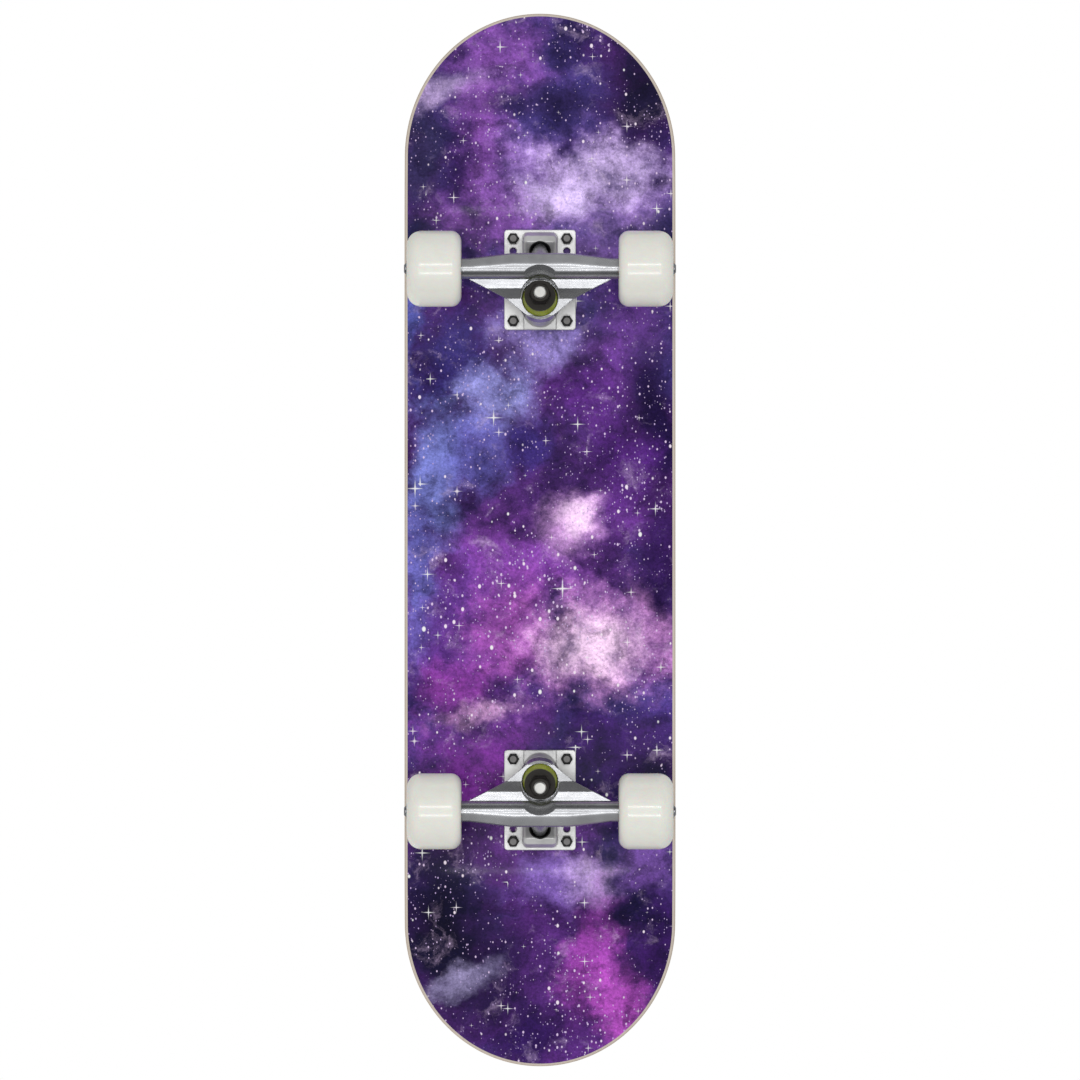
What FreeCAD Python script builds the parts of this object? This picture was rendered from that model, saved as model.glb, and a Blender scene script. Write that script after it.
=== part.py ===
import FreeCAD, Part

import math
import os

from FreeCAD import Vector

# Board frame, millimetres: X across the board, Y towards the nose, Z up from the ground.
# Truck frame: x across, u from the middle of the baseplate towards the middle of the board,
# w down from the underside of the deck towards the road.

# Deck
DECK_LENGTH = 821.0
DECK_WIDTH = 209.6
DECK_THICK = 11.0
DECK_EDGE_ROUND = 3.5
END_LENGTH = 113.0            # half length of the elliptical nose and tail
LEVEL_HALF = 246.0            # the deck is level out to here from its middle
KICK_RADIUS = 160.0
KICK_ANGLE = math.radians(20.0)
CONCAVE_FLAT = 30.0           # flat strip along the middle, half width
CONCAVE_RISE = 8.5            # rise of the long edges above the flat strip
SLAB_MARGIN = 8.0             # the slab reaches this far past the outline before it is trimmed

# Skins on the deck
SKIN_INSET = 2.4
GRIP_THICK = 1.0
FILM_THICK = 0.3

# Truck placing
TRUCK_Y = 200.5
WHEEL_DIAMETER = 58.0
AXLE_DROP = 52.0
AXLE_U = -6.7
DECK_BOLT_X = 41.3 / 2
DECK_BOLT_U = 63.5 / 2
SPARE_ROW_STEP = 9.5

# Baseplate
PLATE_WIDTH = 55.0
PLATE_LENGTH = 77.0
PLATE_THICK = 5.5
PLATE_CORNER = 2.5
PLATE_HOLE_R = 2.75
HOUSING_HALF = 13.35
HOUSING_ROUND = 4.0
RIB_HALF = 12.5
BOSS_R = 13.2

# Pivot: a ball on the hanger's stem, held in a soft cup
PIVOT_U = -25.5
PIVOT_W = 15.5
PIVOT_BALL_R = 5.0
PIVOT_CLEARANCE = 0.1
CUP_R = 8.3
CUP_MOUTH = 8.5
CUP_MOUTH_R = 7.4
STEM_R = 4.2
STEM_ROOT_R = 10.0
STEM_LENGTH = 34.7
STEM_LEAN = math.radians(28.4)

# Kingpin: places along it are counted from the middle of the hanger's ring towards the road
RING_U = 17.0
RING_W = 36.0
KINGPIN_LEAN = math.radians(12.0)
KINGPIN_R = 4.76
KINGPIN_END = 26.5
KINGPIN_HEAD_FLATS = 14.3
KINGPIN_HEAD_HEIGHT = 5.5
KINGPIN_NUT_HEIGHT = 9.0
BOSS_FLOOR = 9.0
RING_HALF = 5.5
SEAT_DEPTH = 3.0
SEAT_R = 13.9
RING_HOLE_R = 7.0
RING_R = 16.2
BUSHING_GAP = 0.1
BUSHING_R = 13.5
BUSHING_END_R = 12.0
BUSHING_BORE_R = 4.9
BOARD_BUSHING = 15.0
ROAD_BUSHING = 11.0
WASHER_THICK = 2.0
WASHER_R = 11.9
SOCKET_ROOM_R = 15.0
SEAT_RIM_TO = 8.0             # top of the rim round the road side bushing
SOCKET_CONE_START = 22.5
SOCKET_CONE_END = 30.0
SOCKET_CONE_R = 22.0

# Hanger
HANGER_HALF = 68.0
BARREL_R = 8.0
BARREL_END_X = 54.0
SHOULDER_X = 22.0
SHOULDER_CENTRE_U = -8.7
SHOULDER_CENTRE_W = 51.5
SHOULDER_HALF_U = 10.0
SHOULDER_HALF_W = 8.5
WING_KNEE_X = 25.7
WING_KNEE_U = 15.8

# Axle and wheel: places along X are counted from the middle of the board
AXLE_R = 3.97
AXLE_HALF = 103.85
SPEED_WASHER_THICK = 0.8
SPEED_WASHER_R = 6.0
AXLE_NUT_FLATS = 12.7
AXLE_NUT_HEIGHT = 8.5
WHEEL_WIDTH = 41.5
WHEEL_OUTER_ROUND = 11.0
WHEEL_INNER_ROUND = 8.0
WHEEL_POCKET_R = 13.5
WHEEL_CORE_R = 8.6
BEARING_R = 11.0
BEARING_BORE_R = 4.0
BEARING_WIDTH = 7.0
BEARING_PITCH_R = 7.75
BALL_R = 1.98
BALL_COUNT = 7
GROOVE_R = 2.12
INNER_RACE_R = 6.3
OUTER_RACE_BORE_R = 9.2
CAGE_HALF_R = 0.5
CAGE_WIDTH = 5.2
CAGE_POCKET_R = 2.05
SHIELD_THICK = 0.4
SHIELD_BORE_R = 6.6
SHIELD_IN = 0.1
SPACER_LENGTH = 10.0
SPACER_R = 5.4

# Deck bolts, M5 with countersunk heads
BOLT_R = 2.5
BOLT_HEAD_R = 4.6
BOLT_HEAD_HEIGHT = 2.8
BOLT_HEAD_SUNK = 0.2
BOLT_SHOW = 1.5
BOLT_NUT_FLATS = 8.0
BOLT_NUT_HEIGHT = 5.0
HEX_KEY_FLATS = 3.0
HEX_KEY_DEPTH = 2.0
HOLE_ROOM = 0.1

# Lock nuts: shares of their height and of their size across the flats
NUT_STRAIGHT_SHARE = 0.7
NUT_CORNER_SHARE = 0.64
NUT_CROWN_SHARE = 0.47

# Derived places
CONCAVE_SPAN = DECK_WIDTH / 2 - CONCAVE_FLAT
CONCAVE_R = (CONCAVE_SPAN ** 2 + CONCAVE_RISE ** 2) / (2 * CONCAVE_RISE)
WHEEL_R = WHEEL_DIAMETER / 2
TRUCK_Z = WHEEL_R + AXLE_DROP
DECK_Z = TRUCK_Z + FILM_THICK
BEARING_START = HANGER_HALF + SPEED_WASHER_THICK
BEARING_STACK = 2 * BEARING_WIDTH + SPACER_LENGTH
WHEEL_MIDDLE = BEARING_START + BEARING_STACK / 2
BUSHING_FROM = RING_HALF - SEAT_DEPTH + BUSHING_GAP
BOARD_WASHER_AT = BUSHING_FROM + BOARD_BUSHING
BOSS_TOP_AT = BOARD_WASHER_AT + WASHER_THICK
ROAD_WASHER_AT = BUSHING_FROM + ROAD_BUSHING
KINGPIN_NUT_AT = ROAD_WASHER_AT + WASHER_THICK

X_AXIS = Vector(1, 0, 0)
W_AXIS = Vector(0, 0, 1)
KINGPIN_AXIS = Vector(0, -math.sin(KINGPIN_LEAN), math.cos(KINGPIN_LEAN))
STEM_AXIS = Vector(0, math.sin(STEM_LEAN), math.cos(STEM_LEAN))
RING_CENTRE = Vector(0, RING_U, RING_W)
PIVOT_CENTRE = Vector(0, PIVOT_U, PIVOT_W)
AXLE_CENTRE = Vector(0, AXLE_U, AXLE_DROP)


# General shapes

def along(start, axis, distance):
    """Point that lies a distance along an axis from a start point."""
    return start + axis * distance


def on_kingpin(distance):
    """Point on the kingpin's axis, counted from the middle of the ring towards the road."""
    return along(RING_CENTRE, KINGPIN_AXIS, distance)


def tube(outer, inner, length, start, axis):
    """Round tube between two radii."""
    return Part.makeCylinder(outer, length, start, axis).cut(Part.makeCylinder(inner, length, start, axis))


def hexagon(flats, length, start, axis):
    """Hexagonal bar, given its size across the flats."""
    side = Vector(1, 0, 0) if abs(axis.x) < 0.5 else Vector(0, 0, 1)
    corner_r = flats / math.sqrt(3)
    corners = []
    for step in range(7):
        turn = FreeCAD.Rotation(axis, 60.0 * step)
        corners.append(start + turn.multVec(side * corner_r))
    return Part.Face(Part.makePolygon(corners)).extrude(axis * length)


def nut(flats, height, bore, start, axis):
    """Hexagonal lock nut with its far corners turned off and a round collar."""
    straight = height * NUT_STRAIGHT_SHARE
    corner_r = flats * NUT_CORNER_SHARE
    crown_r = flats * NUT_CROWN_SHARE
    crown = Part.makeCone(corner_r, crown_r, height - straight, along(start, axis, straight), axis)
    body = Part.makeCylinder(corner_r, straight, start, axis).fuse(crown)
    return hexagon(flats, height, start, axis).common(body).cut(Part.makeCylinder(bore, height, start, axis))


def side_prism(points, half):
    """Prism across the truck from an outline in u and w."""
    corners = [Vector(-half, u, w) for u, w in points]
    corners.append(corners[0])
    return Part.Face(Part.makePolygon(corners)).extrude(Vector(2 * half, 0, 0))


def plan_prism(points, w_from, w_to):
    """Prism through the truck from half an outline in x and u, mirrored across x."""
    outline = points + [(-x, u) for x, u in reversed(points)]
    corners = [Vector(x, u, w_from) for x, u in outline]
    corners.append(corners[0])
    return Part.Face(Part.makePolygon(corners)).extrude(Vector(0, 0, w_to - w_from))


def mirrored_pair(shape):
    """A shape and its copy turned half a turn about the vertical through the board's middle."""
    return [shape, shape.rotated(Vector(0, 0, 0), W_AXIS, 180)]


# Deck and its skins

def section_point(side, offset, angle):
    """Point of the deck's cross-section: offset up from the underside, angle round the concave bend."""
    radius = CONCAVE_R - offset
    x = CONCAVE_FLAT + radius * math.sin(angle)
    return Vector(side * x, 0, DECK_Z + CONCAVE_R - radius * math.cos(angle))


def section_curve(offset, reach):
    """Left bend, flat strip and right bend of one face of the deck, as three edges."""
    edges = [Part.makeLine(section_point(-1, offset, 0), section_point(1, offset, 0))]
    for side in (-1, 1):
        points = [section_point(side, offset, reach * share) for share in (0, 0.5, 1)]
        edges.append(Part.Arc(*points).toShape())
    return edges


def deck_section(lift, thick):
    """Cross-section of a sheet that lies a distance above the deck's underside."""
    reach = math.asin((CONCAVE_SPAN + SLAB_MARGIN) / CONCAVE_R)
    edges = section_curve(lift, reach) + section_curve(lift + thick, reach)
    for side in (-1, 1):
        low, high = section_point(side, lift, reach), section_point(side, lift + thick, reach)
        edges.append(Part.makeLine(low, high))
    return Part.Face(Part.Wire(Part.sortEdges(edges)[0]))


def deck_slab(lift, thick):
    """Sheet that follows the deck's level part, its two bends and its two kicks."""
    section = deck_section(lift, thick)
    start = section.translated(Vector(0, LEVEL_HALF, 0))
    hinge = Vector(0, LEVEL_HALF, DECK_Z + KICK_RADIUS)
    angle = math.degrees(KICK_ANGLE)
    bend = start.revolve(hinge, X_AXIS, angle)
    run = DECK_LENGTH / 2 - LEVEL_HALF
    kick = start.rotated(hinge, X_AXIS, angle).extrude(Vector(0, run, run * math.tan(KICK_ANGLE)))
    level = section.translated(Vector(0, -LEVEL_HALF, 0)).extrude(Vector(0, 2 * LEVEL_HALF, 0))
    return level.fuse(mirrored_pair(bend) + mirrored_pair(kick))


def end_arc(direction, inset):
    """Elliptical arc of the nose (direction 1) or the tail (direction -1)."""
    middle = Vector(0, direction * (DECK_LENGTH / 2 - END_LENGTH), 0)
    tip = middle + Vector(0, direction * (END_LENGTH - inset), 0)
    side = middle + Vector(-direction * (DECK_WIDTH / 2 - inset), 0, 0)
    ellipse = Part.Ellipse(tip, side, middle)
    return Part.ArcOfEllipse(ellipse, -math.pi / 2, math.pi / 2).toShape()


def outline_prism(inset):
    """Upright prism of the deck's outline, drawn in by an inset."""
    side_x = DECK_WIDTH / 2 - inset
    side_y = DECK_LENGTH / 2 - END_LENGTH
    left = Part.makeLine(Vector(-side_x, side_y, 0), Vector(-side_x, -side_y, 0))
    right = Part.makeLine(Vector(side_x, -side_y, 0), Vector(side_x, side_y, 0))
    wire = Part.Wire([end_arc(1, inset), left, end_arc(-1, inset), right])
    return Part.Face(wire).extrude(Vector(0, 0, 4 * TRUCK_Z))


def deck_bolt_places():
    """Middle of each deck bolt of one truck, in x and y on the board."""
    return [(x, TRUCK_Y + u) for x in (-DECK_BOLT_X, DECK_BOLT_X) for u in (-DECK_BOLT_U, DECK_BOLT_U)]


def bolt_clearance(x, y, with_head):
    """Cutter for one deck bolt: its shank, and its countersunk head where asked."""
    cutter = Part.makeCylinder(BOLT_R + HOLE_ROOM, 2 * TRUCK_Z, Vector(x, y, 0))
    if with_head:
        start = Vector(x, y, bolt_top() - BOLT_HEAD_HEIGHT)
        cutter = cutter.fuse(Part.makeCone(BOLT_R + HOLE_ROOM, BOLT_HEAD_R + HOLE_ROOM, BOLT_HEAD_HEIGHT,
                                           start, W_AXIS))
    return cutter


def drill(shape, cutters):
    """Cut the holes of both trucks, given the cutters for the front truck's four."""
    for cutter in cutters:
        for placed in mirrored_pair(cutter):
            shape = shape.cut(placed)
    return shape


def bolt_top():
    """Height of the top of a deck bolt's head."""
    return DECK_Z + DECK_THICK + GRIP_THICK - BOLT_HEAD_SUNK


def on_outline(point):
    """True for a point on the deck's outline, seen from above."""
    past = max(0.0, abs(point.y) - (DECK_LENGTH / 2 - END_LENGTH)) / END_LENGTH
    return abs((2 * point.x / DECK_WIDTH) ** 2 + past ** 2 - 1) < 0.001


def outline_rims(shape):
    """Edges that run round the outline of a sheet, without the upright ones."""
    rims = []
    for edge in shape.Edges:
        middle = (edge.FirstParameter + edge.LastParameter) / 2
        if on_outline(edge.valueAt(middle)) and abs(edge.tangentAt(middle).z) < 0.8:
            rims.append(edge)
    return rims


def make_deck():
    """Laminated deck with rounded rims and countersunk bolt holes."""
    deck = deck_slab(0, DECK_THICK).common(outline_prism(0))
    deck = deck.makeFillet(DECK_EDGE_ROUND, outline_rims(deck))
    return drill(deck, [bolt_clearance(x, y, True) for x, y in deck_bolt_places()])


def make_grip():
    """Sheet of grip tape over the deck's top."""
    sheet = deck_slab(DECK_THICK, GRIP_THICK).common(outline_prism(SKIN_INSET))
    holes = [Part.makeCylinder(BOLT_HEAD_R + HOLE_ROOM, 2 * TRUCK_Z, Vector(x, y, 0))
             for x, y in deck_bolt_places()]
    return drill(sheet, holes)


def make_film():
    """Printed film under the deck."""
    sheet = deck_slab(-FILM_THICK, FILM_THICK).common(outline_prism(SKIN_INSET))
    return drill(sheet, [bolt_clearance(x, y, False) for x, y in deck_bolt_places()])


def make_deck_bolts():
    """Four countersunk bolts of one truck, with a hexagonal key socket in each head."""
    bolts = []
    tip = TRUCK_Z - PLATE_THICK - BOLT_NUT_HEIGHT - BOLT_SHOW
    for x, y in deck_bolt_places():
        top = Vector(x, y, bolt_top())
        shank = Part.makeCylinder(BOLT_R, top.z - tip, Vector(x, y, tip))
        head = Part.makeCone(BOLT_HEAD_R, BOLT_R, BOLT_HEAD_HEIGHT, top, -W_AXIS)
        key = hexagon(HEX_KEY_FLATS, HEX_KEY_DEPTH, top, -W_AXIS)
        bolts.append(shank.fuse(head).cut(key).removeSplitter())
    return Part.makeCompound(bolts)


def make_deck_nuts():
    """Four lock nuts under one baseplate."""
    top = TRUCK_Z - PLATE_THICK
    nuts = []
    for x, y in deck_bolt_places():
        nuts.append(nut(BOLT_NUT_FLATS, BOLT_NUT_HEIGHT, BOLT_R, Vector(x, y, top), -W_AXIS))
    return Part.makeCompound(nuts)


# Baseplate side of the truck, in the truck frame

def plate_slab():
    """Flat plate with rounded corners."""
    start = Vector(-PLATE_WIDTH / 2, -PLATE_LENGTH / 2, 0)
    slab = Part.makeBox(PLATE_WIDTH, PLATE_LENGTH, PLATE_THICK, start)
    corners = [edge for edge in slab.Edges if abs(edge.tangentAt(edge.FirstParameter).z) > 0.9]
    return slab.makeFillet(PLATE_CORNER, corners)


def pivot_housing():
    """Raised housing that holds the pivot cup."""
    outline = [(-36.5, 1.0), (-36.5, 9.0), (-33.2, 24.0), (-28.5, 26.8), (-12.0, 17.8), (-9.0, 1.0)]
    housing = side_prism(outline, HOUSING_HALF)
    rims = []
    for edge in housing.Edges:
        middle = edge.CenterOfMass
        if abs(abs(middle.x) - HOUSING_HALF) < 0.01 and middle.z > PLATE_THICK:
            rims.append(edge)
        if abs(middle.y + 36.5) < 0.01 and abs(middle.x) > HOUSING_HALF - 0.01:
            rims.append(edge)
    unique = {edge.hashCode(): edge for edge in rims}
    return housing.makeFillet(HOUSING_ROUND, list(unique.values()))


def kingpin_rib():
    """Rib that runs from the kingpin boss to the inner end of the plate."""
    outline = [(2.0, 1.0), (2.0, 5.5), (9.0, 9.5), (26.0, 9.5), (38.4, 7.5), (38.4, 1.0)]
    return side_prism(outline, RIB_HALF)


def make_baseplate():
    """Cast baseplate with pivot housing, kingpin boss and six bolt holes."""
    boss = Part.makeCylinder(BOSS_R, 20.0, on_kingpin(-BOSS_TOP_AT), -KINGPIN_AXIS)
    boss = boss.common(Part.makeBox(80, 80, 60, Vector(-40, -10, 0)))
    body = plate_slab().fuse([pivot_housing(), kingpin_rib(), boss])
    rows = (-DECK_BOLT_U, -DECK_BOLT_U + SPARE_ROW_STEP, DECK_BOLT_U)
    cutters = []
    for x in (-DECK_BOLT_X, DECK_BOLT_X):
        for u in rows:
            cutters.append(Part.makeCylinder(PLATE_HOLE_R, PLATE_THICK * 4, Vector(x, u, -1)))
    socket_r = CUP_R + HOLE_ROOM / 2
    cutters.append(Part.makeSphere(socket_r, PIVOT_CENTRE))
    cutters.append(Part.makeCylinder(socket_r, 2 * CUP_MOUTH, PIVOT_CENTRE, STEM_AXIS))
    head_at = on_kingpin(-BOSS_TOP_AT - BOSS_FLOOR)
    cutters.append(hexagon(KINGPIN_HEAD_FLATS + 2 * HOLE_ROOM, 20.0, head_at, -KINGPIN_AXIS))
    cutters.append(Part.makeCylinder(KINGPIN_R, 40.0, on_kingpin(0), -KINGPIN_AXIS))
    for cutter in cutters:
        body = body.cut(cutter)
    return body.removeSplitter()


def make_pivot_cup():
    """Soft cup pressed into the baseplate."""
    body = Part.makeSphere(CUP_R, PIVOT_CENTRE)
    body = body.fuse(Part.makeCylinder(CUP_R, CUP_MOUTH, PIVOT_CENTRE, STEM_AXIS))
    seat_r = PIVOT_BALL_R + PIVOT_CLEARANCE
    body = body.cut(Part.makeSphere(seat_r, PIVOT_CENTRE))
    body = body.cut(Part.makeCone(seat_r, CUP_MOUTH_R, CUP_MOUTH, PIVOT_CENTRE, STEM_AXIS))
    return body


def make_kingpin():
    """Hexagon headed bolt through the baseplate, the bushings and the hanger's ring."""
    head_at = -BOSS_TOP_AT - BOSS_FLOOR
    head = hexagon(KINGPIN_HEAD_FLATS, KINGPIN_HEAD_HEIGHT, on_kingpin(head_at), -KINGPIN_AXIS)
    shank = Part.makeCylinder(KINGPIN_R, KINGPIN_END - head_at - 0.8, on_kingpin(head_at), KINGPIN_AXIS)
    tip = Part.makeCone(KINGPIN_R, KINGPIN_R - 0.8, 0.8, on_kingpin(KINGPIN_END - 0.8), KINGPIN_AXIS)
    return head.fuse([shank, tip]).removeSplitter()


def make_board_bushing():
    """Barrel bushing between the baseplate and the ring."""
    half = BOARD_BUSHING / 2
    start = on_kingpin(-BUSHING_FROM)
    barrel = Part.makeCylinder(BUSHING_R, half, start, -KINGPIN_AXIS)
    taper = Part.makeCone(BUSHING_R, BUSHING_END_R, half, on_kingpin(-BUSHING_FROM - half), -KINGPIN_AXIS)
    bore = Part.makeCylinder(BUSHING_BORE_R, BOARD_BUSHING, start, -KINGPIN_AXIS)
    return barrel.fuse(taper).cut(bore).removeSplitter()


def make_road_bushing():
    """Conical bushing between the ring and the kingpin nut."""
    start = on_kingpin(BUSHING_FROM)
    base = Part.makeCylinder(BUSHING_R, SEAT_DEPTH, start, KINGPIN_AXIS)
    cone_length = ROAD_BUSHING - SEAT_DEPTH
    cone_start = along(start, KINGPIN_AXIS, SEAT_DEPTH)
    cone = Part.makeCone(BUSHING_R, BUSHING_END_R, cone_length, cone_start, KINGPIN_AXIS)
    bore = Part.makeCylinder(BUSHING_BORE_R, ROAD_BUSHING, start, KINGPIN_AXIS)
    return base.fuse(cone).cut(bore).removeSplitter()


def cup_washer(at, axis):
    """Washer that closes the end of a bushing; the axis points away from the bushing."""
    return tube(WASHER_R, KINGPIN_R, WASHER_THICK, on_kingpin(at), axis)


def make_kingpin_nut():
    """Lock nut on the kingpin."""
    return nut(KINGPIN_HEAD_FLATS, KINGPIN_NUT_HEIGHT, KINGPIN_R, on_kingpin(KINGPIN_NUT_AT), KINGPIN_AXIS)


# Hanger, in the truck frame

def section(x, centre_u, centre_w, half_u, half_w):
    """Oval section of the hanger's barrel in a plane across x."""
    centre = Vector(x, centre_u, centre_w)
    oval = Part.Ellipse(centre + Vector(0, half_u, 0), centre + Vector(0, 0, half_w), centre)
    return Part.Wire(oval.toShape())


def hanger_barrel():
    """Barrel around the axle: round at the ends and deeper in the middle."""
    pieces = [Part.makeCylinder(BARREL_R, 2 * HANGER_HALF, AXLE_CENTRE - X_AXIS * HANGER_HALF, X_AXIS)]
    middle = (SHOULDER_CENTRE_U, SHOULDER_CENTRE_W, SHOULDER_HALF_U, SHOULDER_HALF_W)
    ends = [section(-SHOULDER_X, *middle), section(SHOULDER_X, *middle)]
    pieces.append(Part.makeLoft(ends, True, True))
    for side in (-1, 1):
        root = section(side * SHOULDER_X, *middle)
        end = section(side * BARREL_END_X, AXLE_U, AXLE_DROP, BARREL_R, BARREL_R - 0.01)
        pieces.append(Part.makeLoft([root, end], True, True))
    return pieces[0].fuse(pieces[1:])


def hanger_wing():
    """Web that joins the barrel to the ring, narrowing towards the ring's tip."""
    plan = [(BARREL_END_X, -6.0), (BARREL_END_X, 1.5), (WING_KNEE_X, WING_KNEE_U), (10.2, 28.6)]
    side = [(-6.7, 58.0), (-0.3, 49.9), (8.2, 48.4), (15.9, 43.0), (32.5, 44.9),
            (34.8, 34.2), (18.1, 30.6), (8.0, 33.0), (0.0, 42.0), (-6.7, 46.0)]
    return plan_prism(plan, 20.0, 70.0).common(side_prism(side, BARREL_END_X + 1))


def make_hanger():
    """Cast hanger: barrel, web, ring, and the stem that ends in the pivot ball."""
    ring = Part.makeCylinder(RING_R, 2 * RING_HALF, on_kingpin(-RING_HALF), KINGPIN_AXIS)
    stem = Part.makeCone(STEM_R, STEM_ROOT_R, STEM_LENGTH, PIVOT_CENTRE, STEM_AXIS)
    ball = Part.makeSphere(PIVOT_BALL_R, PIVOT_CENTRE)
    body = hanger_barrel().fuse([hanger_wing(), ring, stem, ball])
    deep = 60.0
    cutters = [
        Part.makeCylinder(RING_HOLE_R, deep, on_kingpin(-deep / 2), KINGPIN_AXIS),
        Part.makeCylinder(SEAT_R, deep, on_kingpin(RING_HALF - SEAT_DEPTH), KINGPIN_AXIS),
        Part.makeCylinder(SEAT_R, deep, on_kingpin(SEAT_DEPTH - RING_HALF), -KINGPIN_AXIS),
        Part.makeCylinder(SOCKET_ROOM_R, deep, on_kingpin(SEAT_RIM_TO), KINGPIN_AXIS),
        Part.makeCone(SOCKET_ROOM_R, SOCKET_CONE_R, SOCKET_CONE_END - SOCKET_CONE_START,
                      on_kingpin(SOCKET_CONE_START), KINGPIN_AXIS),
        Part.makeCylinder(AXLE_R, 2 * AXLE_HALF, AXLE_CENTRE - X_AXIS * AXLE_HALF, X_AXIS),
    ]
    for cutter in cutters:
        body = body.cut(cutter)
    return body.removeSplitter()


# Axle and wheels, along X from the middle of the board

def make_axle():
    """Axle rod with chamfered ends, along X through the origin."""
    chamfer = 1.0
    rod = Part.makeCylinder(AXLE_R, 2 * (AXLE_HALF - chamfer), Vector(chamfer - AXLE_HALF, 0, 0), X_AXIS)
    tips = []
    for side in (-1, 1):
        start = Vector(side * (AXLE_HALF - chamfer), 0, 0)
        tips.append(Part.makeCone(AXLE_R, AXLE_R - chamfer, chamfer, start, X_AXIS * side))
    return rod.fuse(tips).removeSplitter()


def make_speed_washers():
    """Two thin washers at each end of the axle, either side of the bearings."""
    rings = []
    for at in (HANGER_HALF, BEARING_START + BEARING_STACK):
        rings += mirrored_pair(tube(SPEED_WASHER_R, AXLE_R, SPEED_WASHER_THICK, Vector(at, 0, 0), X_AXIS))
    return Part.makeCompound(rings)


def make_axle_nuts():
    """Lock nut at each end of the axle."""
    at = BEARING_START + BEARING_STACK + SPEED_WASHER_THICK
    right = nut(AXLE_NUT_FLATS, AXLE_NUT_HEIGHT, AXLE_R, Vector(at, 0, 0), X_AXIS)
    return Part.makeCompound(mirrored_pair(right))


def bearing_middles():
    """Middle plane of the two bearings of a wheel, along X."""
    near = BEARING_START + BEARING_WIDTH / 2
    return [near, near + BEARING_WIDTH + SPACER_LENGTH]


def ball_track(at):
    """Ring of round section that the balls of a bearing run in."""
    return Part.makeTorus(BEARING_PITCH_R, GROOVE_R, Vector(at, 0, 0), X_AXIS)


def make_tyre():
    """Cast wheel with rounded shoulders, bearing seats and open pockets."""
    inner = WHEEL_MIDDLE - WHEEL_WIDTH / 2
    outer = WHEEL_MIDDLE + WHEEL_WIDTH / 2
    body = Part.makeCylinder(WHEEL_R, WHEEL_WIDTH, Vector(inner, 0, 0), X_AXIS)
    for at, radius in ((inner, WHEEL_INNER_ROUND), (outer, WHEEL_OUTER_ROUND)):
        rim = [edge for edge in body.Edges
               if abs(edge.CenterOfMass.x - at) < 0.01 and edge.BoundBox.YLength > WHEEL_R]
        body = body.makeFillet(radius, rim)
    pocket = inner - 1, BEARING_START
    body = body.cut(Part.makeCylinder(WHEEL_POCKET_R, pocket[1] - pocket[0], Vector(pocket[0], 0, 0), X_AXIS))
    far = BEARING_START + BEARING_STACK
    body = body.cut(Part.makeCylinder(WHEEL_POCKET_R, outer + 1 - far, Vector(far, 0, 0), X_AXIS))
    for at in (BEARING_START, far - BEARING_WIDTH):
        body = body.cut(Part.makeCylinder(BEARING_R, BEARING_WIDTH, Vector(at, 0, 0), X_AXIS))
    return body.cut(Part.makeCylinder(WHEEL_CORE_R, BEARING_STACK, Vector(BEARING_START, 0, 0), X_AXIS))


def make_outer_races():
    """Outer rings of the two bearings."""
    rings = []
    for at in bearing_middles():
        start = Vector(at - BEARING_WIDTH / 2, 0, 0)
        rings.append(tube(BEARING_R, OUTER_RACE_BORE_R, BEARING_WIDTH, start, X_AXIS).cut(ball_track(at)))
    return Part.makeCompound(rings)


def make_inner_races():
    """Inner rings of the two bearings."""
    rings = []
    for at in bearing_middles():
        start = Vector(at - BEARING_WIDTH / 2, 0, 0)
        rings.append(tube(INNER_RACE_R, BEARING_BORE_R, BEARING_WIDTH, start, X_AXIS).cut(ball_track(at)))
    return Part.makeCompound(rings)


def ball_centres(at):
    """Middle of each ball of one bearing."""
    centres = []
    for step in range(BALL_COUNT):
        turn = 2 * math.pi * step / BALL_COUNT
        centres.append(Vector(at, BEARING_PITCH_R * math.cos(turn), BEARING_PITCH_R * math.sin(turn)))
    return centres


def make_balls():
    """Balls of the two bearings."""
    spots = [spot for at in bearing_middles() for spot in ball_centres(at)]
    return Part.makeCompound([Part.makeSphere(BALL_R, spot) for spot in spots])


def make_cages():
    """Ring with round pockets that spaces the balls of each bearing."""
    cages = []
    for at in bearing_middles():
        start = Vector(at - CAGE_WIDTH / 2, 0, 0)
        cage = tube(BEARING_PITCH_R + CAGE_HALF_R, BEARING_PITCH_R - CAGE_HALF_R, CAGE_WIDTH, start, X_AXIS)
        for spot in ball_centres(at):
            cage = cage.cut(Part.makeSphere(CAGE_POCKET_R, spot))
        cages.append(cage)
    return Part.makeCompound(cages)


def make_shields():
    """Thin shields on both faces of each bearing."""
    shields = []
    for at in bearing_middles():
        face = BEARING_WIDTH / 2 - SHIELD_IN - SHIELD_THICK
        for start in (at + face, at - face - SHIELD_THICK):
            shields.append(tube(OUTER_RACE_BORE_R, SHIELD_BORE_R, SHIELD_THICK, Vector(start, 0, 0), X_AXIS))
    return Part.makeCompound(shields)


def make_spacer():
    """Sleeve between the inner rings of a wheel's two bearings."""
    return tube(SPACER_R, BEARING_BORE_R, SPACER_LENGTH, Vector(BEARING_START + BEARING_WIDTH, 0, 0), X_AXIS)


# Placing and writing

def place_truck(shape, end):
    """Turn a shape from the truck frame over and set it at the nose (1) or the tail (-1)."""
    placed = shape.rotated(Vector(0, 0, 0), X_AXIS, 180)
    placed.translate(Vector(0, TRUCK_Y, TRUCK_Z))
    return placed if end > 0 else placed.rotated(Vector(0, 0, 0), W_AXIS, 180)


def place_axle(shape, end, side=1):
    """Move a shape made about the X axis to the nose (1) or the tail (-1) axle, right (1) or left (-1)."""
    placed = shape if side > 0 else shape.rotated(Vector(0, 0, 0), W_AXIS, 180)
    return placed.translated(Vector(0, end * (TRUCK_Y - AXLE_U), WHEEL_R))


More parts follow.
